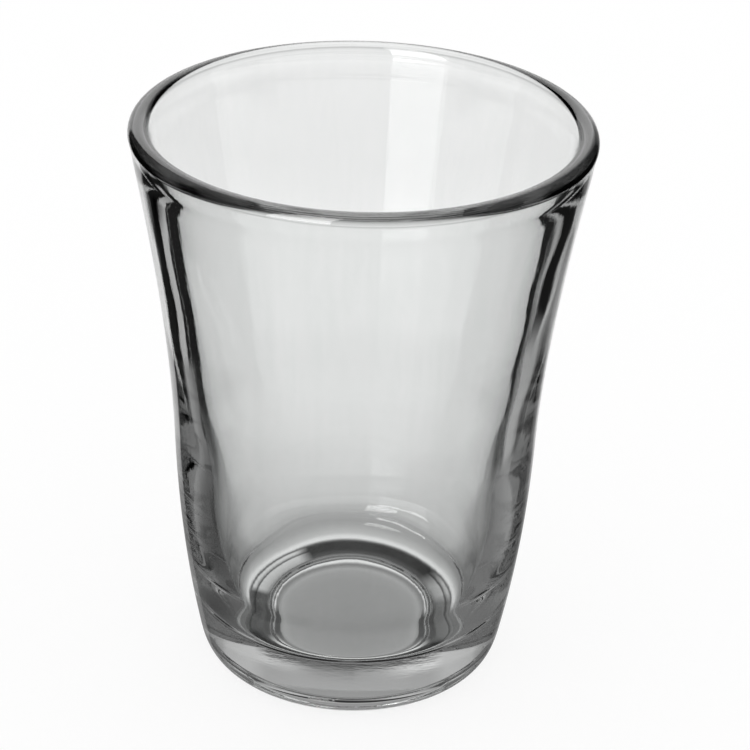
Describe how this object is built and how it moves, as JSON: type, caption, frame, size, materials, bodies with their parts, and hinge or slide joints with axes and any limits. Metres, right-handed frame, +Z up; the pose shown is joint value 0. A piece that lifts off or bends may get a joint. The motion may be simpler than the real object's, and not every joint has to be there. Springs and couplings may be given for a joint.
{
  "type": "cortado glass",
  "caption": "Small clear drinking glass with a flared mouth, fully rounded rim, slight waist and thick solid foot, for a cortado or other short coffee.",
  "frame": {"origin": "centre of the foot, on the surface that the glass stands on", "axes": "+Z up along the axis of the glass; the part is turned about Z, so X and Y are free"},
  "size_m": [0.068, 0.068, 0.089],
  "materials": {
    "clear_glass": "clear soda-lime glass, pressed in a mould and fire-polished"
  },
  "bodies": {
    "root": {"glass_body": "clear_glass"}
  },
  "joints": []
}
